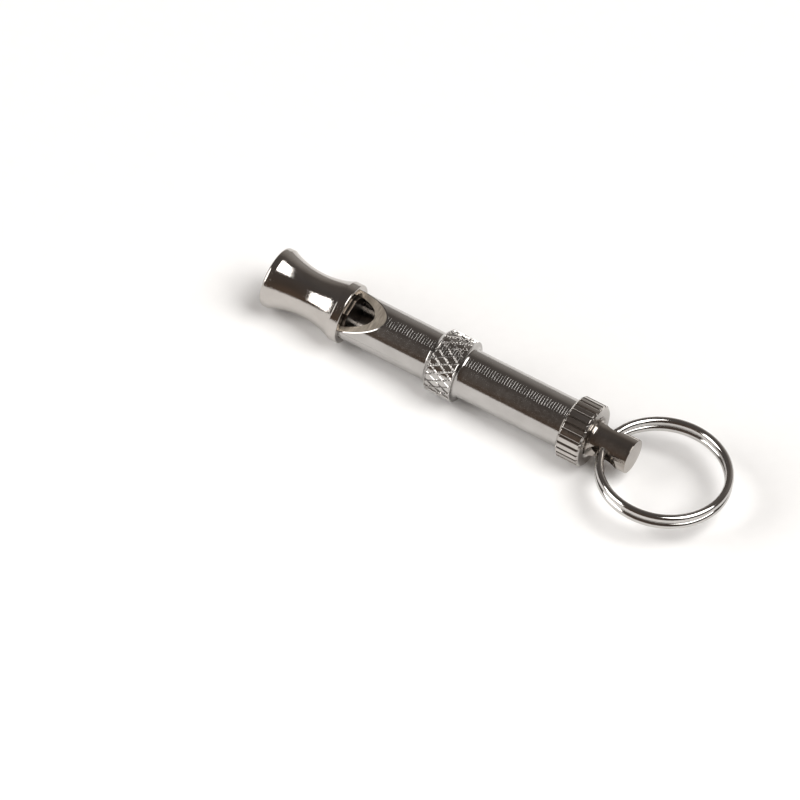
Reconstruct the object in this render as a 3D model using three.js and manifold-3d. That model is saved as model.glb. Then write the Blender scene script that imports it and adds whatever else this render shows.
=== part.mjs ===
// Adjustable training whistle: a turned barrel with a knurled grip band and a slanted sounding
// window, a flared mouthpiece with a flatted plug that forms the windway, a tuning screw that
// carries the piston, a fluted lock nut and a two-turn split ring.
//
// Millimetres, +Z up. The whistle lies on its nut with its axis along +X and its mouthpiece at
// the -X end. Every station below is measured along the axis from the mouthpiece's face.

import * as THREE from 'three';
import * as BufferGeometryUtils from 'three/addons/utils/BufferGeometryUtils.js';
import Module from 'manifold-3d';

const wasm = await Module();
wasm.setup();

// ---- driving dimensions -------------------------------------------------------------------

const SIDES = 48;             // facets round a turned piece
const PRESS_GAP = 0.03;       // drawn gap between two pressed pieces
const RUN_GAP = 0.07;         // drawn radial clearance of a running fit

const WINDOW_ROLL = 22;       // degrees that the window leans from straight up, towards -Y
const BORE_R = 3.9;           // resonator bore
const BARREL_R = 5.0;
const BARREL_END = 65.3;

const RIM_R = 6.1;            // mouthpiece rim and collar
const RIM_ROUND = 0.65;
const FLARE_START = 1.55;
const WAIST = { station: 8.4, radius: 4.65, curve: 17 };
const COLLAR_START = 14.9;
const COLLAR_END = 17.1;
const MOUTH_R = 4.7;
const SPIGOT_START = 13.6;    // barrel's reduced front end, pressed into the mouthpiece
const SPIGOT_R = 4.45;

const PLUG_START = 5.0;
const PLUG_END = 17.65;
const FLAT_HEIGHT = 3.5;      // windway floor above the axis

const NOTCH_START = 16.3;     // the window's notch begins under the mouthpiece's collar
const RAMP_TIP = 25.2;        // station where the window's ramp runs out at the barrel's surface
const RAMP_ANGLE = 22.5;

const BAND = { start: 35.9, full: 36.8, fullEnd: 42.2, end: 42.4, radius: 6.3, fillet: 0.7 };

const THREAD_R = 3.65;
const THREAD_BORE_START = 47.3;
const PISTON = { start: 26.5, end: 34.5, radius: BORE_R - RUN_GAP, socketR: 2.05, socketDepth: 5.0 };
const PIN_R = 2.0;
const PIN_GAP = 0.3;
const THREAD_START = 35.0;
const THREAD_END = 70.9;
const STEM_START = 71.3;
const STEM_R = 3.46;
const SCREW_END = 79.1;

// The stem's cross hole: it widens from sinkDepth below the crown to the rim at the crown.
const HOLE = { station: 74.0, radius: 2.8, rim: 3.4, sinkDepth: 1.4, tilt: 20 };

const NUT = { start: 65.5, end: 70.55, radius: 6.35, bevel: 0.4, bore: THREAD_R + 0.1, flutes: 28 };
const FLUTE = { depth: 0.36, halfWidth: 0.3 };

const RING = { meanR: 12.35, wireR: 0.8, layer: 1.66, endGap: 9.5, ramp: 8, splitAt: 6 };
const RING_SEAT = 73.5;       // station where the wire passes through the stem's hole

// ---- materials ----------------------------------------------------------------------------

function nickel(colour, roughness) {
  return new THREE.MeshStandardMaterial({ color: colour, roughness, metalness: 1 });
}

const polishedNickel = nickel(0xb8b0a6, 0.14);
const turnedNickel = nickel(0xb2aaa0, 0.24);
const threadNickel = nickel(0xada59b, 0.26);
const ringSteel = nickel(0xc0bbb4, 0.12);
const innerBrass = nickel(0xb09a72, 0.35);

// ---- solids -------------------------------------------------------------------------------

// A closed geometry becomes a solid once its doubled vertices are merged and the triangles
// that shrink to a line, such as those at a turned piece's axis, are dropped.
function solidFrom(geometry) {
  const bare = geometry.clone();
  bare.deleteAttribute('normal');
  bare.deleteAttribute('uv');
  const merged = BufferGeometryUtils.mergeVertices(bare, 1e-4);
  const corners = merged.getIndex().array;
  const kept = [];
  for (let i = 0; i < corners.length; i += 3) {
    const [a, b, c] = corners.slice(i, i + 3);
    if (a !== b && b !== c && c !== a) kept.push(a, b, c);
  }
  return new wasm.Manifold(new wasm.Mesh({
    numProp: 3,
    vertProperties: new Float32Array(merged.getAttribute('position').array),
    triVerts: new Uint32Array(kept),
  }));
}

function meshFrom(name, solid, material) {
  const { vertProperties, triVerts } = solid.getMesh();
  const geometry = new THREE.BufferGeometry();
  geometry.setAttribute('position', new THREE.BufferAttribute(vertProperties, 3));
  geometry.setIndex(new THREE.BufferAttribute(triVerts, 1));
  geometry.computeVertexNormals();
  const mesh = new THREE.Mesh(geometry, material);
  mesh.name = name;
  return mesh;
}

// A profile is a list of [station, radius]; the piece is that profile turned about the X axis,
// with one of its facets facing straight down, so that the whistle lies on flats.
function turned(profile, sides = SIDES) {
  const points = profile.map(([station, radius]) => new THREE.Vector2(radius, station));
  const geometry = new THREE.LatheGeometry(points, sides);
  geometry.rotateZ(-Math.PI / 2);
  geometry.rotateX(Math.PI / sides);
  return solidFrom(geometry);
}

// Points of a quarter round or any other arc in the profile's plane, angles in degrees.
function arc(station, radius, bend, from, to, steps) {
  const points = [];
  for (let i = 0; i <= steps; i += 1) {
    const angle = THREE.MathUtils.degToRad(from + ((to - from) * i) / steps);
    points.push([station + bend * Math.cos(angle), radius + bend * Math.sin(angle)]);
  }
  return points;
}

// A prism over an outline drawn in stations and heights above the axis, on the window's side.
function windowPrism(outline, width) {
  const shape = new THREE.Shape(outline.map(([station, height]) => new THREE.Vector2(station, height)));
  const geometry = new THREE.ExtrudeGeometry(shape, { depth: width, bevelEnabled: false });
  geometry.translate(0, 0, -width / 2);
  geometry.rotateX(THREE.MathUtils.degToRad(90 + WINDOW_ROLL));
  return solidFrom(geometry);
}

// ---- mouthpiece and plug ------------------------------------------------------------------

function flareProfile() {
  const steps = 12;
  const points = [];
  for (let i = 0; i <= steps; i += 1) {
    const station = FLARE_START + ((COLLAR_START - FLARE_START) * i) / steps;
    const sag = WAIST.curve - Math.sqrt(WAIST.curve ** 2 - (station - WAIST.station) ** 2);
    points.push([station, WAIST.radius + sag]);
  }
  return points;
}

function makeMouthpiece() {
  const rim = arc(RIM_ROUND, RIM_R - RIM_ROUND, RIM_ROUND, 180, 90, 4);
  const mouthDepth = 1.2;
  const counterbore = SPIGOT_START - PRESS_GAP;
  const backFace = COLLAR_END - PRESS_GAP;
  const start = [0, MOUTH_R];
  return turned([
    start,
    ...rim,
    ...flareProfile(),
    [COLLAR_START + 0.35, RIM_R],
    [backFace - 0.3, RIM_R],
    [backFace, RIM_R - 0.2],
    [backFace, SPIGOT_R + PRESS_GAP],
    [counterbore, SPIGOT_R + PRESS_GAP],
    [counterbore, BORE_R],
    [mouthDepth, BORE_R],
    start,
  ]);
}

function makeFipplePlug() {
  const radius = BORE_R - PRESS_GAP;
  const bevel = 0.25;
  const rod = turned([
    [PLUG_START, 0],
    [PLUG_START, radius - bevel],
    [PLUG_START + bevel, radius],
    [PLUG_END, radius],
    [PLUG_END, 0],
  ]);
  const aboveFlat = windowPrism([
    [PLUG_START - 1, FLAT_HEIGHT],
    [PLUG_END + 1, FLAT_HEIGHT],
    [PLUG_END + 1, BORE_R + 1],
    [PLUG_START - 1, BORE_R + 1],
  ], 2 * BORE_R);
  return rod.subtract(aboveFlat);
}

// ---- barrel -------------------------------------------------------------------------------

function makeBarrel() {
  const edge = 0.2;
  const threadBore = THREAD_R + RUN_GAP;
  const start = [SPIGOT_START, BORE_R];
  const filletCentre = [BAND.end + BAND.fillet, BARREL_R + BAND.fillet];
  const tube = turned([
    start,
    [SPIGOT_START, SPIGOT_R],
    [COLLAR_END, SPIGOT_R],
    [COLLAR_END, BARREL_R],
    [BAND.start, BARREL_R],
    [BAND.start + 0.5, BARREL_R + 0.6],
    [BAND.full, BAND.radius],
    [BAND.fullEnd, BAND.radius],
    [BAND.end, BAND.radius - 0.25],
    ...arc(...filletCentre, BAND.fillet, 180, 270, 3),
    [BARREL_END - edge, BARREL_R],
    [BARREL_END, BARREL_R - edge],
    [BARREL_END, threadBore],
    [THREAD_BORE_START, threadBore],
    [THREAD_BORE_START, BORE_R],
    start,
  ]);
  const rampFall = Math.tan(THREE.MathUtils.degToRad(RAMP_ANGLE));
  const rampFoot = BARREL_R - (RAMP_TIP - NOTCH_START) * rampFall;
  const overshoot = 3;
  const windowCut = windowPrism([
    [NOTCH_START, rampFoot],
    [RAMP_TIP + overshoot, BARREL_R + overshoot * rampFall],
    [NOTCH_START, BARREL_R + overshoot],
  ], 4 * BARREL_R);
  return tube.subtract(windowCut);
}

// ---- piston, tuning screw and lock nut ----------------------------------------------------

function makePiston() {
  const bevel = 0.25;
  const socketEnd = PISTON.end - PISTON.socketDepth;
  return turned([
    [PISTON.start, 0],
    [PISTON.start, PISTON.radius - bevel],
    [PISTON.start + bevel, PISTON.radius],
    [PISTON.end - bevel, PISTON.radius],
    [PISTON.end, PISTON.radius - bevel],
    [PISTON.end, PISTON.socketR],
    [socketEnd, PISTON.socketR],
    [socketEnd, 0],
  ]);
}

// Cutter for the stem's cross hole: a cylinder that widens to a countersink at both mouths.
function crossHoleCutter() {
  const overshoot = 0.45;
  const mouth = STEM_R + overshoot;
  const flank = STEM_R - HOLE.sinkDepth;
  const slope = (HOLE.rim - HOLE.radius) / HOLE.sinkDepth;
  const mouthR = HOLE.rim + overshoot * slope;
  const profile = [
    [0, -mouth],
    [mouthR, -mouth],
    [HOLE.radius, -flank],
    [HOLE.radius, flank],
    [mouthR, mouth],
    [0, mouth],
  ].map(([radius, along]) => new THREE.Vector2(radius, along));
  const geometry = new THREE.LatheGeometry(profile, 40);
  geometry.rotateX(THREE.MathUtils.degToRad(HOLE.tilt));
  geometry.translate(HOLE.station, 0, 0);
  return solidFrom(geometry);
}

function makeTuningScrew() {
  const lead = 0.6;
  const edge = 0.15;
  const pinStart = PISTON.end - PISTON.socketDepth + PIN_GAP;
  const body = turned([
    [pinStart, 0],
    [pinStart, PIN_R],
    [THREAD_START, PIN_R],
    [THREAD_START, THREAD_R - lead],
    [THREAD_START + lead, THREAD_R],
    [THREAD_END, THREAD_R],
    [STEM_START, STEM_R],
    [SCREW_END - edge, STEM_R],
    [SCREW_END, STEM_R - edge],
    [SCREW_END, 0],
  ]);
  return body.subtract(crossHoleCutter());
}

function fluteCutter(angle) {
  const section = new THREE.Shape([
    new THREE.Vector2(-FLUTE.halfWidth, NUT.radius + 0.05),
    new THREE.Vector2(0, NUT.radius - FLUTE.depth),
    new THREE.Vector2(FLUTE.halfWidth, NUT.radius + 0.05),
  ]);
  const length = NUT.end - NUT.start + 2;
  const geometry = new THREE.ExtrudeGeometry(section, { depth: length, bevelEnabled: false });
  geometry.rotateY(Math.PI / 2);
  geometry.translate(NUT.start - 1, 0, 0);
  geometry.rotateX(angle);
  return solidFrom(geometry);
}

function makeLockNut() {
  const start = [NUT.start, NUT.bore];
  const countersink = 0.5;
  let nut = turned([
    start,
    [NUT.start, NUT.radius - NUT.bevel],
    [NUT.start + NUT.bevel, NUT.radius],
    [NUT.end - NUT.bevel, NUT.radius],
    [NUT.end, NUT.radius - NUT.bevel],
    [NUT.end, NUT.bore + countersink],
    [NUT.end - countersink, NUT.bore],
    start,
  ], 2 * NUT.flutes);
  for (let i = 0; i < NUT.flutes; i += 1) {
    nut = nut.subtract(fluteCutter((i * 2 * Math.PI) / NUT.flutes));
  }
  return nut;
}

// ---- split ring ---------------------------------------------------------------------------

// The wire's centre line: two turns, one on the other, with a short step between the layers
// where the wire's two cut ends face each other. The seat in the stem's hole is at the origin.
class SplitRingPath extends THREE.Curve {
  getPoint(t, target = new THREE.Vector3()) {
    const turns = 720;
    const swept = RING.endGap + (turns - 2 * RING.endGap) * t;
    const climb = THREE.MathUtils.smoothstep(swept, 360 - RING.ramp, 360 + RING.ramp);
    const angle = THREE.MathUtils.degToRad(swept + RING.splitAt);
    return target.set(
      RING.meanR * (1 - Math.cos(angle)),
      RING.meanR * Math.sin(angle),
      RING.layer * (climb - 0.5),
    );
  }
}

function makeSplitRing() {
  const corners = 8;
  const section = new THREE.Shape();
  for (let i = 0; i < corners; i += 1) {
    const angle = ((i + 0.5) * 2 * Math.PI) / corners;
    const place = [RING.wireR * Math.cos(angle), RING.wireR * Math.sin(angle)];
    if (i === 0) section.moveTo(...place);
    else section.lineTo(...place);
  }
  const path = new SplitRingPath();
  const geometry = new THREE.ExtrudeGeometry(section, { steps: 90, extrudePath: path });
  return solidFrom(geometry);
}

// ---- assembly -----------------------------------------------------------------------------

const whistle = new THREE.Group();

whistle.add(meshFrom('mouthpiece', makeMouthpiece(), polishedNickel));
whistle.add(meshFrom('fipple_plug', makeFipplePlug(), innerBrass));
whistle.add(meshFrom('barrel', makeBarrel(), turnedNickel));
whistle.add(meshFrom('piston', makePiston(), innerBrass));
whistle.add(meshFrom('tuning_screw', makeTuningScrew(), threadNickel));
whistle.add(meshFrom('lock_nut', makeLockNut(), polishedNickel));

const splitRing = meshFrom('split_ring', makeSplitRing(), ringSteel);
splitRing.position.x = RING_SEAT;
whistle.add(splitRing);

// The origin is the middle of the whole length, on the surface that the whistle lies on.
const extent = new THREE.Box3().setFromObject(whistle);
whistle.position.set(-(extent.min.x + extent.max.x) / 2, 0, -extent.min.z);

export default whistle;
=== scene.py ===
"""Looks of an adjustable training whistle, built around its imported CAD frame.

The drawing lengths below are millimetres. A station is a distance along the whistle's axis,
which is +X, from the mouthpiece's front face. Blender's own lengths are metres.
"""

import math

import bmesh
import bpy
import numpy as np
from mathutils import Matrix, Vector


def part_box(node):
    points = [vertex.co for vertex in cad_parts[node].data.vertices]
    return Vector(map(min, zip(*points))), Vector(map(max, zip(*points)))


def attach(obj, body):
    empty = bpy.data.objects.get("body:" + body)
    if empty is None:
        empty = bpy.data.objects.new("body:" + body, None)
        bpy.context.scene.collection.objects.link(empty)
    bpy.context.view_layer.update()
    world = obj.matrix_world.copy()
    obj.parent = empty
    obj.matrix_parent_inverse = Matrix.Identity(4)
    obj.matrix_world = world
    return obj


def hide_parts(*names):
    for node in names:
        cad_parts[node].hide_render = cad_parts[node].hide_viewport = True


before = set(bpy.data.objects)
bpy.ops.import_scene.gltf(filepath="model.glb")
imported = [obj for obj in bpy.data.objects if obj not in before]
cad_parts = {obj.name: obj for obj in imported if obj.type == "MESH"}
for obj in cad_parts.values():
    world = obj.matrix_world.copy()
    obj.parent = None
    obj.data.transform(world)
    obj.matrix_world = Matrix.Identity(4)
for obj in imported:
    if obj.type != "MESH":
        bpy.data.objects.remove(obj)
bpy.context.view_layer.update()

MM = 0.001
FRONT_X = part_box("mouthpiece")[0].x
AXIS_Z = (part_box("lock_nut")[0].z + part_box("lock_nut")[1].z) / 2

# ---- driving dimensions ---------------------------------------------------------------------

BORE_R = 3.9
BARREL_R = 5.0
BARREL_END = 65.3

RIM_R = 6.1
RIM_ROUND = 0.6
FLARE_START = 1.55
WAIST_STATION = 8.4
WAIST_R = 4.65
WAIST_CURVE = 17.0
COLLAR_START = 14.9
COLLAR_END = 17.07
MOUTH_R = 4.7
MOUTH_DEPTH = 1.2
SPIGOT_START = 13.6
SPIGOT_R = 4.45
FIT_GAP = 0.03

PLUG_START = 5.0
PLUG_END = 17.65
FLAT_HEIGHT = 3.5

WINDOW_ROLL = math.radians(22)
NOTCH_START = 16.3
RAMP_TIP = 25.2
RAMP_SLOPE = math.tan(math.radians(22.5))
RAMP_EDGE = 0.1

BAND_START = 35.9
BAND_FULL = 36.8
BAND_END = 42.4
BAND_R = 6.3
BAND_FILLET = 0.75
BAND_CHAMFER = 0.12
KNURL_LINES = 22
KNURL_ANGLE = math.radians(30)
KNURL_DEPTH = 0.24
KNURL_CREST = 0.04
KNURL_FOOT = 0.17
KNURL_SECOND_HEIGHT = 0.86

THREAD_R = 3.65
THREAD_PITCH = 1.25
THREAD_DEPTH = 0.6
THREAD_CREST_SHARE = 0.14
THREAD_ROOT_SHARE = 0.2
THREAD_GAP = 0.07
THREAD_BORE_START = 47.3
THREAD_START = 35.0
THREAD_END = 70.9
STEM_START = 71.3
STEM_R = 3.46
SCREW_END = 79.1
PIN_START = 29.8
PIN_R = 2.0

HOLE_STATION = 74.0
HOLE_R = 2.8
HOLE_RIM = 3.4
HOLE_SINK = 1.4
HOLE_TILT = math.radians(20)

PISTON_START = 26.5
PISTON_END = 34.5
PISTON_R = 3.83
SOCKET_R = 2.05
SOCKET_DEPTH = 5.0

NUT_START = 65.5
NUT_END = 70.55
NUT_R = 6.35
NUT_BORE = 3.75
NUT_BEVEL = 0.4
FLUTES = 28
FLUTE_DEPTH = 0.36
FLUTE_SHARE = 0.36

# The ring's end gap, ramp and split are degrees round it.
RING_MEAN_R = 12.35
RING_WIRE_R = 0.8
RING_LAYER = 1.66
RING_END_GAP = 9.5
RING_RAMP = 8.0
RING_SPLIT = 6.0
RING_SEAT = 73.5

# ---- looks ----------------------------------------------------------------------------------

SHARP_ANGLE = math.radians(15)
FLAT_LEAD = 0.04
FEED_PITCH = 0.55
NICKEL_DARK = (0.46, 0.435, 0.41)
NICKEL_LIGHT = (0.54, 0.515, 0.49)
BLACK = (0.0, 0.0, 0.0)
WHITE = (1.0, 1.0, 1.0)

# The room's tone at points from the viewer's side, -1, to the far side, 1.
ROOM_TONES = (
    (-1.0, (0.12, 0.083, 0.06)),
    (-0.8, (0.09, 0.07, 0.057)),
    (0.0, (0.10, 0.09, 0.085)),
    (0.62, (0.125, 0.11, 0.10)),
    (0.83, (0.29, 0.265, 0.245)),
    (0.96, (0.42, 0.40, 0.38)),
)
# The lamps, the floor and the camera are placed in metres.
LAMP_RADIANCE = 5.75
LAMP_DISTANCE = 3.0
LAMP_TINT = (1.0, 0.985, 0.965)
FLOOR_HALF_WIDTH = 1.5
PAPER_DARK = (0.93, 0.93, 0.93)
PAPER_LIGHT = (0.97, 0.97, 0.97)

# The camera's direction from the whistle, and how far the whistle's axis falls in the picture.
VIEW_AZIMUTH = math.radians(24.8)
VIEW_ELEVATION = math.radians(47.4)
VIEW_FALL = math.radians(26.9)
VIEW_DISTANCE = 1.8
# The width that the picture shows at the whistle, and the mouth's place right of its middle and
# above it, in millimetres.
VIEW_WIDTH = 152.380952
MOUTH_RIGHT = -23.809524
MOUTH_ABOVE = 23.619048

# ---- mesh helpers ---------------------------------------------------------------------------


def mesh_object(name, points, faces):
    """An object from points in (station, y, z) millimetres about the axis."""
    points = np.asarray(points, float) * MM + np.array([FRONT_X, 0.0, AXIS_Z])
    mesh = bpy.data.meshes.new(name)
    mesh.from_pydata(points.tolist(), [], faces)
    mesh.validate()
    obj = bpy.data.objects.new(name, mesh)
    bpy.context.scene.collection.objects.link(obj)
    return obj


def finish_shading(obj):
    """Smooth shading, with the real edges left sharp."""
    obj.data.shade_smooth()
    obj.data.set_sharp_from_angle(angle=SHARP_ANGLE)


def rounded(corners):
    """Profile points in which each corner (station, radius, fillet) has become an arc.

    A fillet of 0 leaves a corner as it is. Short leads beside each arc keep the shading of the
    flat parts flat.
    """
    points = []
    for i, (station, radius, fillet) in enumerate(corners):
        here = np.array([station, radius], float)
        if fillet == 0 or i in (0, len(corners) - 1):
            points.append(here)
            continue
        back = np.array(corners[i - 1][:2], float) - here
        ahead = np.array(corners[i + 1][:2], float) - here
        back /= np.linalg.norm(back)
        ahead /= np.linalg.norm(ahead)
        half = math.acos(np.clip(back @ ahead, -1, 1)) / 2
        setback = fillet / math.tan(half)
        middle = back + ahead
        centre = here + middle / np.linalg.norm(middle) * fillet / math.sin(half)
        start = here + back * setback - centre
        turn = math.pi - 2 * half
        side = math.copysign(1, back[0] * start[1] - back[1] * start[0])
        steps = max(3, math.ceil(turn / math.radians(10)))
        points.append(here + back * (setback + FLAT_LEAD))
        for k in range(steps + 1):
            angle = side * turn * k / steps
            c = math.cos(angle)
            s = math.sin(angle)
            points.append(centre + [c * start[0] - s * start[1], s * start[0] + c * start[1]])
        points.append(here + ahead * (setback + FLAT_LEAD))
    return np.array(points)


def subdivided(profile, longest):
    """The same profile with every long step split into short ones."""
    points = [profile[0]]
    for here, there in zip(profile, profile[1:]):
        steps = math.ceil(np.linalg.norm(there - here) / longest)
        points.extend(here + (there - here) * k / steps for k in range(1, steps + 1))
    return np.array(points)


def side_angles(sides):
    """The angles of the sides round a circle."""
    return np.arange(sides) * 2 * math.pi / sides


def round_radii(profile, sides):
    """A profile's radius at each row, the same on every side."""
    return np.repeat(profile[:, 1][:, None], sides, axis=1)


def ring_rows(stations, radii):
    """Rows of points round the axis, from the radius at each row and side."""
    sides = radii.shape[1]
    theta = side_angles(sides)
    x = np.repeat(stations[:, None], sides, axis=1)
    return np.stack([x, radii * np.cos(theta), radii * np.sin(theta)], axis=2)


def skin(name, rows, closed):
    """An object whose faces join each row of points to the next.

    A closed profile joins its last row to its first, and an open one is capped at both ends.
    """
    count, sides = rows.shape[:2]
    index = np.arange(count * sides).reshape(count, sides)
    following = np.roll(index, -1, axis=1)
    pairs = [(i, (i + 1) % count) for i in range(count if closed else count - 1)]
    faces = []
    for a, b in pairs:
        quads = np.stack([index[a], index[b], following[b], following[a]], axis=1)
        faces.extend(quads.tolist())
    if not closed:
        faces.append(index[0].tolist())
        faces.append(index[-1][::-1].tolist())
    obj = mesh_object(name, rows.reshape(-1, 3), faces)
    return outward(obj)


def outward(obj):
    """Turns a closed mesh's faces to look out of the solid."""
    mesh = obj.data
    mesh.calc_loop_triangles()
    points = np.array([v.co for v in mesh.vertices])
    corners = np.array([t.vertices for t in mesh.loop_triangles])
    a, b, c = (points[corners[:, k]] for k in range(3))
    if np.einsum("ij,ij->i", a, np.cross(b, c)).sum() < 0:
        mesh.flip_normals()
    return obj


def turned(name, corners, sides, closed):
    """A piece turned on the axis from the corners of its profile."""
    profile = rounded(corners)
    return skin(name, ring_rows(profile[:, 0], round_radii(profile, sides)), closed)


def cut(obj, cutter):
    """Takes the cutter out of the object and removes the cutter."""
    modifier = obj.modifiers.new("cut", "BOOLEAN")
    modifier.operation = "DIFFERENCE"
    modifier.solver = "EXACT"
    modifier.object = cutter
    evaluated = obj.evaluated_get(bpy.context.evaluated_depsgraph_get())
    mesh = bpy.data.meshes.new_from_object(evaluated)
    obj.modifiers.clear()
    obj.data = mesh
    bpy.data.objects.remove(cutter)


def window_prism(outline, width):
    """A cutter over an outline of (station, height towards the window), across the axis."""
    up = np.array([0.0, -math.sin(WINDOW_ROLL), math.cos(WINDOW_ROLL)])
    across = np.array([0.0, math.cos(WINDOW_ROLL), math.sin(WINDOW_ROLL)])
    points = []
    for side in (-0.5, 0.5):
        for station, height in outline:
            points.append(np.array([station, 0, 0]) + up * height + across * side * width)
    n = len(outline)
    faces = [list(range(n)), list(range(2 * n - 1, n - 1, -1))]
    for i in range(n):
        j = (i + 1) % n
        faces.append([i, i + n, j + n, j])
    return outward(mesh_object("cutter", points, faces))


def smoothstep(value, low, high):
    """0 up to low, 1 from high on, and a smooth rise between them."""
    t = np.clip((value - low) / (high - low), 0, 1)
    return t * t * (3 - 2 * t)


# ---- mouthpiece and plug --------------------------------------------------------------------


def flare_corners():
    """The mouthpiece's hollow waist: an arc from the flare to the collar."""
    corners = []
    for station in np.linspace(FLARE_START, COLLAR_START, 48):
        sag = WAIST_CURVE - math.sqrt(WAIST_CURVE**2 - (station - WAIST_STATION) ** 2)
        corners.append((station, WAIST_R + sag, 0))
    return corners


def make_mouthpiece():
    """The flared mouthpiece with its recess, waist, collar and socket for the spigot."""
    corners = [
        (0.5, BORE_R + 0.3, 0),
        (0.0, MOUTH_R, 0.12),
        (0.0, RIM_R, RIM_ROUND),
        (FLARE_START, RIM_R, 0.25),
        *flare_corners()[2:],
        (COLLAR_START + 0.35, RIM_R, 0.15),
        (COLLAR_END, RIM_R, 0.3),
        (COLLAR_END, SPIGOT_R + FIT_GAP, 0.03),
        (SPIGOT_START - FIT_GAP, SPIGOT_R + FIT_GAP, 0.03),
        (SPIGOT_START - FIT_GAP, BORE_R, 0.03),
        (MOUTH_DEPTH, BORE_R, 0.2),
    ]
    return turned("mouthpiece_turned", corners, 256, True)


def make_plug():
    """The rod in the mouthpiece, with the flat that leaves the windway."""
    corners = [
        (PLUG_START, 0.4, 0),
        (PLUG_START, BORE_R - FIT_GAP, 0.25),
        (PLUG_END, BORE_R - FIT_GAP, 0.06),
        (PLUG_END, 0.4, 0),
    ]
    plug = turned("fipple_plug_rod", corners, 128, False)
    above_flat = [
        (PLUG_START - 1, FLAT_HEIGHT),
        (PLUG_END + 1, FLAT_HEIGHT),
        (PLUG_END + 1, BORE_R + 1),
        (PLUG_START - 1, BORE_R + 1),
    ]
    cut(plug, window_prism(above_flat, 2 * BORE_R + 1))
    return plug


# ---- barrel ---------------------------------------------------------------------------------


def knurl_relief(stations, sides):
    """The knurl's height, 0 to 1, at each row and side: two crossing families of raised lines."""
    theta = side_angles(sides)
    pitch = 2 * math.pi * BAND_R / KNURL_LINES
    around = BAND_R * theta[None, :]
    along = stations[:, None] * math.tan(KNURL_ANGLE)
    relief = np.zeros((len(stations), sides))
    for lean, height in ((1, 1.0), (-1, KNURL_SECOND_HEIGHT)):
        off = (around + lean * along) / pitch
        distance = np.abs(off - np.round(off)) * pitch * math.cos(KNURL_ANGLE)
        ridge = height * (1 - smoothstep(distance, KNURL_CREST, KNURL_FOOT))
        relief = np.maximum(relief, ridge)
    return relief


def barrel_before_band():
    """The barrel's outline from its front edge, over the spigot, to the knurled band."""
    return rounded(
        [
            (SPIGOT_START, BORE_R + 0.1, 0),
            (SPIGOT_START, SPIGOT_R, 0.1),
            (COLLAR_END + 0.05, SPIGOT_R, 0.02),
            (COLLAR_END + 0.05, BARREL_R, 0.03),
            (BAND_START, BARREL_R, 0.35),
            (BAND_START + 0.35, BARREL_R + 0.75, 0.1),
            (BAND_FULL, BAND_R, 0),
        ]
    )


def barrel_after_band():
    """The barrel's outline from the knurled band to its end and back along its bores."""
    thread_bore = THREAD_R + THREAD_GAP
    return rounded(
        [
            (BAND_END - BAND_CHAMFER, BAND_R, 0),
            (BAND_END, BAND_R - 0.14, 0.04),
            (BAND_END, BARREL_R, BAND_FILLET),
            (BARREL_END, BARREL_R, 0.18),
            (BARREL_END, thread_bore, 0.1),
            (THREAD_BORE_START, thread_bore, 0.05),
            (THREAD_BORE_START, BORE_R, 0.05),
            (SPIGOT_START, BORE_R, 0),
        ]
    )


def band_radii(stations, sides):
    """The knurled band's radius at each row and side. The knurl fades out at both edges."""
    band_edge = BAND_END - BAND_CHAMFER
    fade = smoothstep(stations, BAND_FULL, BAND_FULL + 0.2)
    fade *= 1 - smoothstep(stations, BAND_END - 0.3, band_edge)
    return BAND_R - KNURL_DEPTH * (1 - knurl_relief(stations, sides)) * fade[:, None]


def window_cutter():
    """A wedge that leaves the upright notch wall and the slanted ramp."""
    overshoot = 3
    foot = BARREL_R - (RAMP_TIP - NOTCH_START) * RAMP_SLOPE
    wedge = [
        (NOTCH_START, foot),
        (RAMP_TIP + overshoot, BARREL_R + overshoot * RAMP_SLOPE),
        (NOTCH_START, BARREL_R + overshoot),
    ]
    return window_prism(wedge, 4 * BARREL_R)


def make_barrel():
    """The tube with its spigot, knurled band and window, in one piece."""
    sides = 528
    band_rows = 72
    before = barrel_before_band()
    after = barrel_after_band()
    band = np.linspace(BAND_FULL, BAND_END - BAND_CHAMFER, band_rows + 2)[1:-1]
    stations = np.concatenate([before[:, 0], band, after[:, 0]])
    radii = np.concatenate(
        [round_radii(before, sides), band_radii(band, sides), round_radii(after, sides)]
    )
    barrel = skin("barrel_turned", ring_rows(stations, radii), True)
    cut(barrel, window_cutter())
    return barrel


def on_surface(edge):
    """Whether a barrel edge lies on the barrel's outside."""
    reach = (math.hypot(v.co.y, v.co.z - AXIS_Z) / MM for v in edge.verts)
    return all(radius > BARREL_R - 0.02 for radius in reach)


def finish_window(barrel):
    """Gives the window's flat ramp the barrel's second finish and a crisp bevelled outer edge."""
    lean = math.atan(RAMP_SLOPE)
    rise = math.cos(lean)
    facing = Vector((-math.sin(lean), -math.sin(WINDOW_ROLL) * rise, math.cos(WINDOW_ROLL) * rise))
    shape = bmesh.new()
    shape.from_mesh(barrel.data)
    rim = set()
    for face in shape.faces:
        if face.normal.dot(facing) > 0.9999:
            face.material_index = 1
            rim.update(edge for edge in face.edges if on_surface(edge))
    made = bmesh.ops.bevel(
        shape, geom=list(rim), offset=RAMP_EDGE * MM, segments=1, affect="EDGES", material=0
    )
    for face in made["faces"]:
        for edge in face.edges:
            edge.smooth = False
    shape.to_mesh(barrel.data)
    shape.free()


# ---- piston, tuning screw and lock nut ------------------------------------------------------


def make_piston():
    """The rod that closes the bore, with a blind socket for the tuning screw's pin."""
    socket_end = PISTON_END - SOCKET_DEPTH
    corners = [
        (PISTON_START, 0.3, 0),
        (PISTON_START, PISTON_R, 0.25),
        (PISTON_END, PISTON_R, 0.25),
        (PISTON_END, SOCKET_R, 0.05),
        (socket_end, SOCKET_R, 0.05),
        (socket_end, 0.3, 0),
    ]
    return turned("piston_turned", corners, 128, False)


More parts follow.
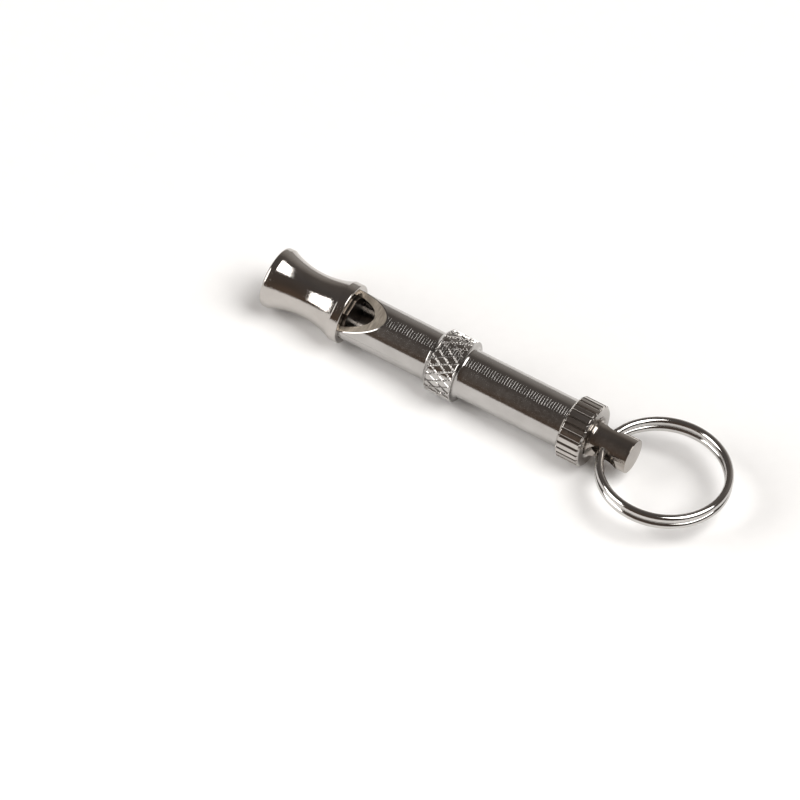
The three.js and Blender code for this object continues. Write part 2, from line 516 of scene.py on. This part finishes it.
def thread_radii(stations, sides):
    """Right-hand thread: the radius at each row and side, running out at both ends.

    The crest and the root are flat for their shares of the pitch.
    """
    theta = side_angles(sides)
    phase = stations[:, None] / THREAD_PITCH - theta[None, :] / (2 * math.pi)
    from_crest = np.abs(phase - np.round(phase)) * 2
    flank = 1 - THREAD_CREST_SHARE - THREAD_ROOT_SHARE
    groove = np.clip((from_crest - THREAD_CREST_SHARE) / flank, 0, 1)
    lead = smoothstep(stations, THREAD_START + 0.4, THREAD_START + 1.2)
    runout = 1 - smoothstep(stations, THREAD_END - 0.9, THREAD_END - 0.3)
    radii = THREAD_R - THREAD_DEPTH * groove * (lead * runout)[:, None]
    chamfer = THREAD_R - THREAD_DEPTH + np.maximum(0, stations - THREAD_START)
    return np.minimum(radii, chamfer[:, None])


def hole_cutter():
    """The stem's cross hole with a countersink at both mouths."""
    overshoot = 0.45
    mouth = STEM_R + overshoot
    flank = STEM_R - HOLE_SINK
    mouth_r = HOLE_RIM + overshoot * (HOLE_RIM - HOLE_R) / HOLE_SINK
    corners = [(-mouth, mouth_r), (-flank, HOLE_R), (flank, HOLE_R), (mouth, mouth_r)]
    sides = 96
    theta = side_angles(sides)
    along = np.array([0, math.cos(HOLE_TILT), math.sin(HOLE_TILT)])
    across = np.array([0, -math.sin(HOLE_TILT), math.cos(HOLE_TILT)])
    rows = []
    for depth, radius in corners:
        ring = np.outer(radius * np.cos(theta), [1, 0, 0]) + np.outer(radius * np.sin(theta), across)
        rows.append(ring + along * depth + np.array([HOLE_STATION, 0, 0]))
    return skin("cutter", np.array(rows), False)


def make_tuning_screw():
    """The front pin, the thread and the plain stem with its cross hole."""
    sides = 144
    thread_rows = round(13 * (THREAD_END - THREAD_START))
    pin = rounded([(PIN_START, 0.4, 0), (PIN_START, PIN_R, 0.15), (THREAD_START, PIN_R, 0)])
    threaded = np.linspace(THREAD_START, THREAD_END, thread_rows)
    stem = rounded(
        [
            (THREAD_END + 0.02, THREAD_R, 0),
            (STEM_START - 0.1, STEM_R, 0.25),
            (SCREW_END, STEM_R, 0.12),
            (SCREW_END, 0.4, 0),
        ]
    )
    radii = np.concatenate(
        [round_radii(pin, sides), thread_radii(threaded, sides), round_radii(stem, sides)]
    )
    stations = np.concatenate([pin[:, 0], threaded, stem[:, 0]])
    screw = skin("tuning_screw_threaded", ring_rows(stations, radii), False)
    cut(screw, hole_cutter())
    return screw


def make_lock_nut():
    """The round nut: a bevelled ring with straight V flutes along its side."""
    per_flute = 18
    sides = FLUTES * per_flute
    outline = rounded(
        [
            (NUT_START, NUT_BORE + 0.35, 0),
            (NUT_START, NUT_R - NUT_BEVEL, 0.06),
            (NUT_START + NUT_BEVEL, NUT_R, 0.12),
            (NUT_END - NUT_BEVEL, NUT_R, 0.12),
            (NUT_END, NUT_R - NUT_BEVEL, 0.06),
            (NUT_END, NUT_BORE + 0.5, 0.04),
            (NUT_END - 0.5, NUT_BORE, 0.04),
            (NUT_START + 0.35, NUT_BORE, 0),
        ]
    )
    outline = subdivided(outline, 0.08)
    around = np.arange(sides) / per_flute
    from_groove = np.abs(around - np.round(around)) * 2
    groove = 1 - np.clip(from_groove / FLUTE_SHARE, 0, 1)
    radii = np.minimum(outline[:, 1][:, None], NUT_R - FLUTE_DEPTH * groove[None, :])
    return skin("lock_nut_fluted", ring_rows(outline[:, 0], radii), True)


# ---- split ring -----------------------------------------------------------------------------


def blunted(row, centre, way, inset):
    """A cut end's rim: the wire's outline drawn in and moved a little outwards."""
    return centre + (row - centre) * (1 - inset) + way * (0.02 + 0.3 * inset)


def make_split_ring():
    """One wire in two touching turns, from one cut end to the other."""
    steps = 480
    sides = 28
    swept = np.linspace(RING_END_GAP, 720 - RING_END_GAP, steps)
    climb = smoothstep(swept, 360 - RING_RAMP, 360 + RING_RAMP)
    angle = np.radians(swept + RING_SPLIT)
    flat = np.stack(
        [
            RING_MEAN_R * (1 - np.cos(angle)),
            RING_MEAN_R * np.sin(angle),
            RING_LAYER * (climb - 0.5),
        ],
        axis=1,
    )
    outwards = np.stack([-np.cos(angle), np.sin(angle), np.zeros(steps)], axis=1)
    tangent = np.gradient(flat, axis=0)
    tangent /= np.linalg.norm(tangent, axis=1)[:, None]
    upwards = np.cross(tangent, outwards)
    theta = side_angles(sides)
    rows = flat[:, None, :] + RING_WIRE_R * (
        outwards[:, None, :] * np.cos(theta)[None, :, None]
        + upwards[:, None, :] * np.sin(theta)[None, :, None]
    )
    opening = [blunted(rows[0], flat[0], -tangent[0], inset) for inset in (0.14, 0.03)]
    closing = [blunted(rows[-1], flat[-1], tangent[-1], inset) for inset in (0.03, 0.14)]
    rows = np.concatenate([opening, rows, closing])
    return skin("split_ring_wire", rows + np.array([RING_SEAT, 0, 0]), False)


# ---- materials ------------------------------------------------------------------------------


class Nodes:
    """A material's node tree, with short calls for the nodes used below."""

    def __init__(self, name):
        self.material = bpy.data.materials.new(name)
        self.material.use_nodes = True
        self.tree = self.material.node_tree
        self.shader = self.tree.nodes["Principled BSDF"]
        self.place = self.tree.nodes.new("ShaderNodeTexCoord").outputs["Object"]

    def link(self, output, node, socket):
        self.tree.links.new(output, node.inputs[socket])

    def noise(self, stretch, detail=2.0, roughness=0.5):
        """Noise over the piece. stretch is its cells per millimetre along each axis."""
        mapping = self.tree.nodes.new("ShaderNodeMapping")
        mapping.inputs["Scale"].default_value = [cells / MM for cells in stretch]
        self.link(self.place, mapping, "Vector")
        node = self.tree.nodes.new("ShaderNodeTexNoise")
        node.inputs["Scale"].default_value = 1.0
        node.inputs["Detail"].default_value = detail
        node.inputs["Roughness"].default_value = roughness
        self.link(mapping.outputs["Vector"], node, "Vector")
        return node.outputs["Fac"]

    def spread(self, value, low, high, to_low, to_high):
        """The value, with low to high stretched over to_low to to_high."""
        node = self.tree.nodes.new("ShaderNodeMapRange")
        node.inputs["From Min"].default_value = low
        node.inputs["From Max"].default_value = high
        node.inputs["To Min"].default_value = to_low
        node.inputs["To Max"].default_value = to_high
        self.link(value, node, "Value")
        return node.outputs["Result"]

    def colours(self, value, *stops):
        """A colour ramp through stops of (position, colour)."""
        ramp = self.tree.nodes.new("ShaderNodeValToRGB")
        elements = ramp.color_ramp.elements
        while len(elements) < len(stops):
            elements.new(0.5)
        for element, (position, colour) in zip(elements, stops):
            element.position = position
            element.color = (*colour, 1)
        self.link(value, ramp, "Fac")
        return ramp.outputs["Color"]

    def split(self, vector, axis):
        node = self.tree.nodes.new("ShaderNodeSeparateXYZ")
        self.link(vector, node, "Vector")
        return node.outputs[axis]

    def math(self, operation, a, b=0.0):
        node = self.tree.nodes.new("ShaderNodeMath")
        node.operation = operation
        for socket, value in enumerate((a, b)):
            if isinstance(value, (int, float)):
                node.inputs[socket].default_value = value
            else:
                self.tree.links.new(value, node.inputs[socket])
        return node.outputs[0]

    def bump(self, height, depth_mm, normal=None):
        """Relief of a real depth, on top of another bump's normal where one is given."""
        node = self.tree.nodes.new("ShaderNodeBump")
        node.inputs["Strength"].default_value = 1.0
        node.inputs["Distance"].default_value = depth_mm * MM
        self.link(height, node, "Height")
        if normal is not None:
            self.link(normal, node, "Normal")
        return node.outputs["Normal"]


def feed_marks(nodes):
    """The lathe tool's shallow grooves, one for each turn of its feed.

    Their short steep flanks, which face the split ring's end, flash where they meet a lamp. The
    grooves wander a little and vary in depth.
    """
    wander = nodes.math("MULTIPLY", nodes.noise((0.3, 0.5, 0.5)), 0.2)
    along = nodes.math("MULTIPLY", nodes.split(nodes.place, "X"), 1 / (FEED_PITCH * MM))
    turn = nodes.math("FRACT", nodes.math("ADD", along, wander))
    tooth = nodes.colours(turn, (0.0, BLACK), (0.945, WHITE), (1.0, BLACK))
    strength = nodes.spread(nodes.noise((0.8, 0.6, 0.6), detail=3.0), 0.35, 0.65, 0.8, 1.0)
    return nodes.math("MULTIPLY", tooth, strength)


def metal(name, dark, light, rough, ring_depth, rings_per_mm, grain_depth, feed_depth=0.0):
    """Turned and plated metal: soft tone clouds, tool rings round the axis and a fine grain."""
    nodes = Nodes(name)
    nodes.shader.inputs["Metallic"].default_value = 1.0
    clouds = nodes.noise((0.18, 0.25, 0.25), detail=4.0, roughness=0.6)
    nodes.link(nodes.colours(clouds, (0.3, dark), (0.7, light)), nodes.shader, "Base Color")
    rings = nodes.noise((rings_per_mm, 0.22, 0.22), detail=3.0, roughness=0.65)
    specks = nodes.noise((1.6, 1.6, 1.6), detail=5.0, roughness=0.7)
    mixed = nodes.math("ADD", nodes.math("MULTIPLY", specks, 0.6), nodes.math("MULTIPLY", rings, 0.4))
    roughness = nodes.spread(mixed, 0.35, 0.65, rough[0], rough[1])
    nodes.link(roughness, nodes.shader, "Roughness")
    normal = nodes.bump(rings, ring_depth)
    normal = nodes.bump(nodes.noise((2.6, 2.6, 2.6), detail=3.0, roughness=0.7), grain_depth, normal)
    if feed_depth > 0:
        normal = nodes.bump(feed_marks(nodes), feed_depth, normal)
    nodes.link(normal, nodes.shader, "Normal")
    return nodes.material


def milled_metal(name, dark, light, rough):
    """A flat left by a milling cutter: duller, with fine strokes that run round the whistle."""
    nodes = Nodes(name)
    nodes.shader.inputs["Metallic"].default_value = 1.0
    strokes = nodes.noise((6.0, 0.5, 0.5), detail=3.0, roughness=0.6)
    nodes.link(nodes.colours(strokes, (0.35, dark), (0.65, light)), nodes.shader, "Base Color")
    nodes.link(nodes.spread(strokes, 0.3, 0.7, rough[0], rough[1]), nodes.shader, "Roughness")
    nodes.link(nodes.bump(strokes, 0.012), nodes.shader, "Normal")
    return nodes.material


def wire_metal(name, dark, light, rough):
    """Drawn and polished wire."""
    nodes = Nodes(name)
    nodes.shader.inputs["Metallic"].default_value = 1.0
    clouds = nodes.noise((0.3, 0.3, 0.3), detail=4.0, roughness=0.6)
    nodes.link(nodes.colours(clouds, (0.3, dark), (0.7, light)), nodes.shader, "Base Color")
    nodes.link(nodes.spread(clouds, 0.3, 0.7, rough[0], rough[1]), nodes.shader, "Roughness")
    nodes.link(nodes.bump(nodes.noise((3.0, 3.0, 3.0), detail=3.0), 0.004), nodes.shader, "Normal")
    return nodes.material


def dress(obj, materials, body, node):
    """Gives a finished piece its finishes and ties it to the CAD."""
    obj.data.materials.clear()
    for material in materials:
        obj.data.materials.append(material)
    finish_shading(obj)
    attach(obj, body)
    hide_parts(node)


POLISHED = metal(
    "polished_nickel",
    dark=NICKEL_DARK,
    light=NICKEL_LIGHT,
    rough=(0.05, 0.11),
    ring_depth=0.004,
    rings_per_mm=2.6,
    grain_depth=0.018,
)
TURNED = metal(
    "turned_nickel",
    dark=(0.425, 0.41, 0.395),
    light=(0.50, 0.485, 0.47),
    rough=(0.09, 0.17),
    ring_depth=0.004,
    rings_per_mm=3.4,
    grain_depth=0.004,
    feed_depth=0.0092,
)
FLUTED = metal(
    "fluted_nickel",
    dark=NICKEL_DARK,
    light=NICKEL_LIGHT,
    rough=(0.10, 0.18),
    ring_depth=0.003,
    rings_per_mm=2.6,
    grain_depth=0.003,
)
STEM = metal(
    "stem_nickel",
    dark=(0.34, 0.31, 0.28),
    light=(0.46, 0.43, 0.40),
    rough=(0.10, 0.18),
    ring_depth=0.003,
    rings_per_mm=4.0,
    grain_depth=0.008,
)
# The plug's metal is painted near black, far darker than the rest of the nickel: painted shade that
# makes the windway slot behind the collar look dark.
PLUG_PAINTED_SHADE = metal(
    "plug_painted_shade",
    dark=(0.10, 0.085, 0.07),
    light=(0.18, 0.155, 0.13),
    rough=(0.25, 0.40),
    ring_depth=0.006,
    rings_per_mm=3.0,
    grain_depth=0.002,
)
INNER = metal(
    "inner_nickel",
    dark=(0.42, 0.38, 0.33),
    light=(0.50, 0.46, 0.40),
    rough=(0.16, 0.28),
    ring_depth=0.006,
    rings_per_mm=3.0,
    grain_depth=0.001,
)
MILLED = milled_metal(
    "milled_nickel", dark=(0.40, 0.35, 0.29), light=(0.66, 0.60, 0.52), rough=(0.40, 0.50)
)
WIRE = wire_metal(
    "ring_steel", dark=(0.52, 0.505, 0.49), light=(0.60, 0.585, 0.57), rough=(0.06, 0.12)
)

dress(make_mouthpiece(), [POLISHED], "barrel", "mouthpiece")
dress(make_plug(), [PLUG_PAINTED_SHADE], "barrel", "fipple_plug")
barrel = make_barrel()
dress(barrel, [TURNED, MILLED], "barrel", "barrel")
finish_window(barrel)
dress(make_piston(), [INNER], "piston", "piston")
dress(make_tuning_screw(), [STEM], "tuning_screw", "tuning_screw")
dress(make_lock_nut(), [FLUTED], "lock_nut", "lock_nut")
dress(make_split_ring(), [WIRE], "split_ring", "split_ring")

# ---- floor, light and camera ----------------------------------------------------------------


def make_floor():
    """Matt paper, level with the whistle's underside."""
    w = FLOOR_HALF_WIDTH
    mesh = bpy.data.meshes.new("floor")
    mesh.from_pydata([(-w, -w, 0), (w, -w, 0), (w, w, 0), (-w, w, 0)], [], [(0, 1, 2, 3)])
    floor = bpy.data.objects.new("floor", mesh)
    bpy.context.scene.collection.objects.link(floor)
    nodes = Nodes("floor_paper")
    nodes.shader.inputs["Roughness"].default_value = 0.9
    nodes.shader.inputs["Specular IOR Level"].default_value = 0.1
    grain = nodes.noise((0.4, 0.4, 0.4))
    pale = nodes.colours(grain, (0.0, PAPER_DARK), (1.0, PAPER_LIGHT))
    nodes.link(pale, nodes.shader, "Base Color")
    mesh.materials.append(nodes.material)


def softbox(name, along_x, towards_viewer, width, height):
    """A rectangular lamp whose place in the sky is given in degrees.

    It leans from straight up by along_x towards +X and by towards_viewer towards -Y, and its
    width and height are the angles that it covers along X and across it.
    """
    lean = math.radians(along_x)
    tilt = math.radians(towards_viewer)
    upright = math.cos(lean)
    way = Vector((math.sin(lean), -upright * math.sin(tilt), upright * math.cos(tilt)))
    along = Vector((0, -math.cos(tilt), -math.sin(tilt)))
    across = along.cross(way)
    lamp = bpy.data.lights.new(name, "AREA")
    lamp.shape = "RECTANGLE"
    lamp.size = 2 * LAMP_DISTANCE * math.tan(math.radians(width) / 2)
    lamp.size_y = 2 * LAMP_DISTANCE * math.tan(math.radians(height) / 2)
    lamp.energy = LAMP_RADIANCE * math.pi * lamp.size * lamp.size_y
    lamp.color = LAMP_TINT
    obj = bpy.data.objects.new(name, lamp)
    bpy.context.scene.collection.objects.link(obj)
    turn = Matrix((across, along, way)).transposed()
    obj.matrix_world = Matrix.Translation(way * LAMP_DISTANCE) @ turn.to_4x4()


def make_world():
    """A dim brown room on the viewer's side that lightens towards the far horizon.

    The camera itself sees plain white beyond the floor.
    """
    world = bpy.data.worlds.new("studio")
    bpy.context.scene.world = world
    world.use_nodes = True
    tree = world.node_tree
    place = tree.nodes.new("ShaderNodeTexCoord")
    split = tree.nodes.new("ShaderNodeSeparateXYZ")
    tree.links.new(place.outputs["Generated"], split.inputs["Vector"])
    height = tree.nodes.new("ShaderNodeMapRange")
    height.inputs["From Min"].default_value = -1.0
    tree.links.new(split.outputs["Y"], height.inputs["Value"])
    room = tree.nodes.new("ShaderNodeValToRGB")
    elements = room.color_ramp.elements
    while len(elements) < len(ROOM_TONES):
        elements.new(0.5)
    for element, (side, tone) in zip(elements, ROOM_TONES):
        element.position = (side + 1) / 2
        element.color = (*tone, 1)
    tree.links.new(height.outputs["Result"], room.inputs["Fac"])
    path = tree.nodes.new("ShaderNodeLightPath")
    mix = tree.nodes.new("ShaderNodeMix")
    mix.data_type = "RGBA"
    mix.inputs["B"].default_value = (1, 1, 1, 1)
    tree.links.new(path.outputs["Is Camera Ray"], mix.inputs["Factor"])
    tree.links.new(room.outputs["Color"], mix.inputs["A"])
    tree.links.new(mix.outputs["Result"], tree.nodes["Background"].inputs["Color"])


def make_camera():
    """A long lens from above and in front, turned so that the whistle runs down to the right."""
    level = math.cos(VIEW_ELEVATION)
    back = Vector(
        (
            math.sin(VIEW_AZIMUTH) * level,
            -math.cos(VIEW_AZIMUTH) * level,
            math.sin(VIEW_ELEVATION),
        )
    )
    along = Vector((1, 0, 0))
    along = (along - back * along.dot(back)).normalized()
    right = along * math.cos(VIEW_FALL) + back.cross(along) * math.sin(VIEW_FALL)
    up = back.cross(right)
    data = bpy.data.cameras.new("camera")
    data.lens = VIEW_DISTANCE * data.sensor_width / (VIEW_WIDTH * MM)
    data.clip_start = 0.01
    data.clip_end = 50
    camera = bpy.data.objects.new("camera", data)
    bpy.context.scene.collection.objects.link(camera)
    mouth = Vector((FRONT_X, 0, AXIS_Z))
    place = mouth + back * VIEW_DISTANCE - right * MOUTH_RIGHT * MM - up * MOUTH_ABOVE * MM
    turn = Matrix((right, up, back)).transposed()
    camera.matrix_world = Matrix.Translation(place) @ turn.to_4x4()
    bpy.context.scene.camera = camera


make_floor()
make_world()
softbox("left_softbox", along_x=-42, towards_viewer=51, width=30, height=40)
softbox("right_softbox", along_x=30, towards_viewer=-5.5, width=40, height=40)
make_camera()
bpy.context.scene.view_settings.view_transform = "Standard"
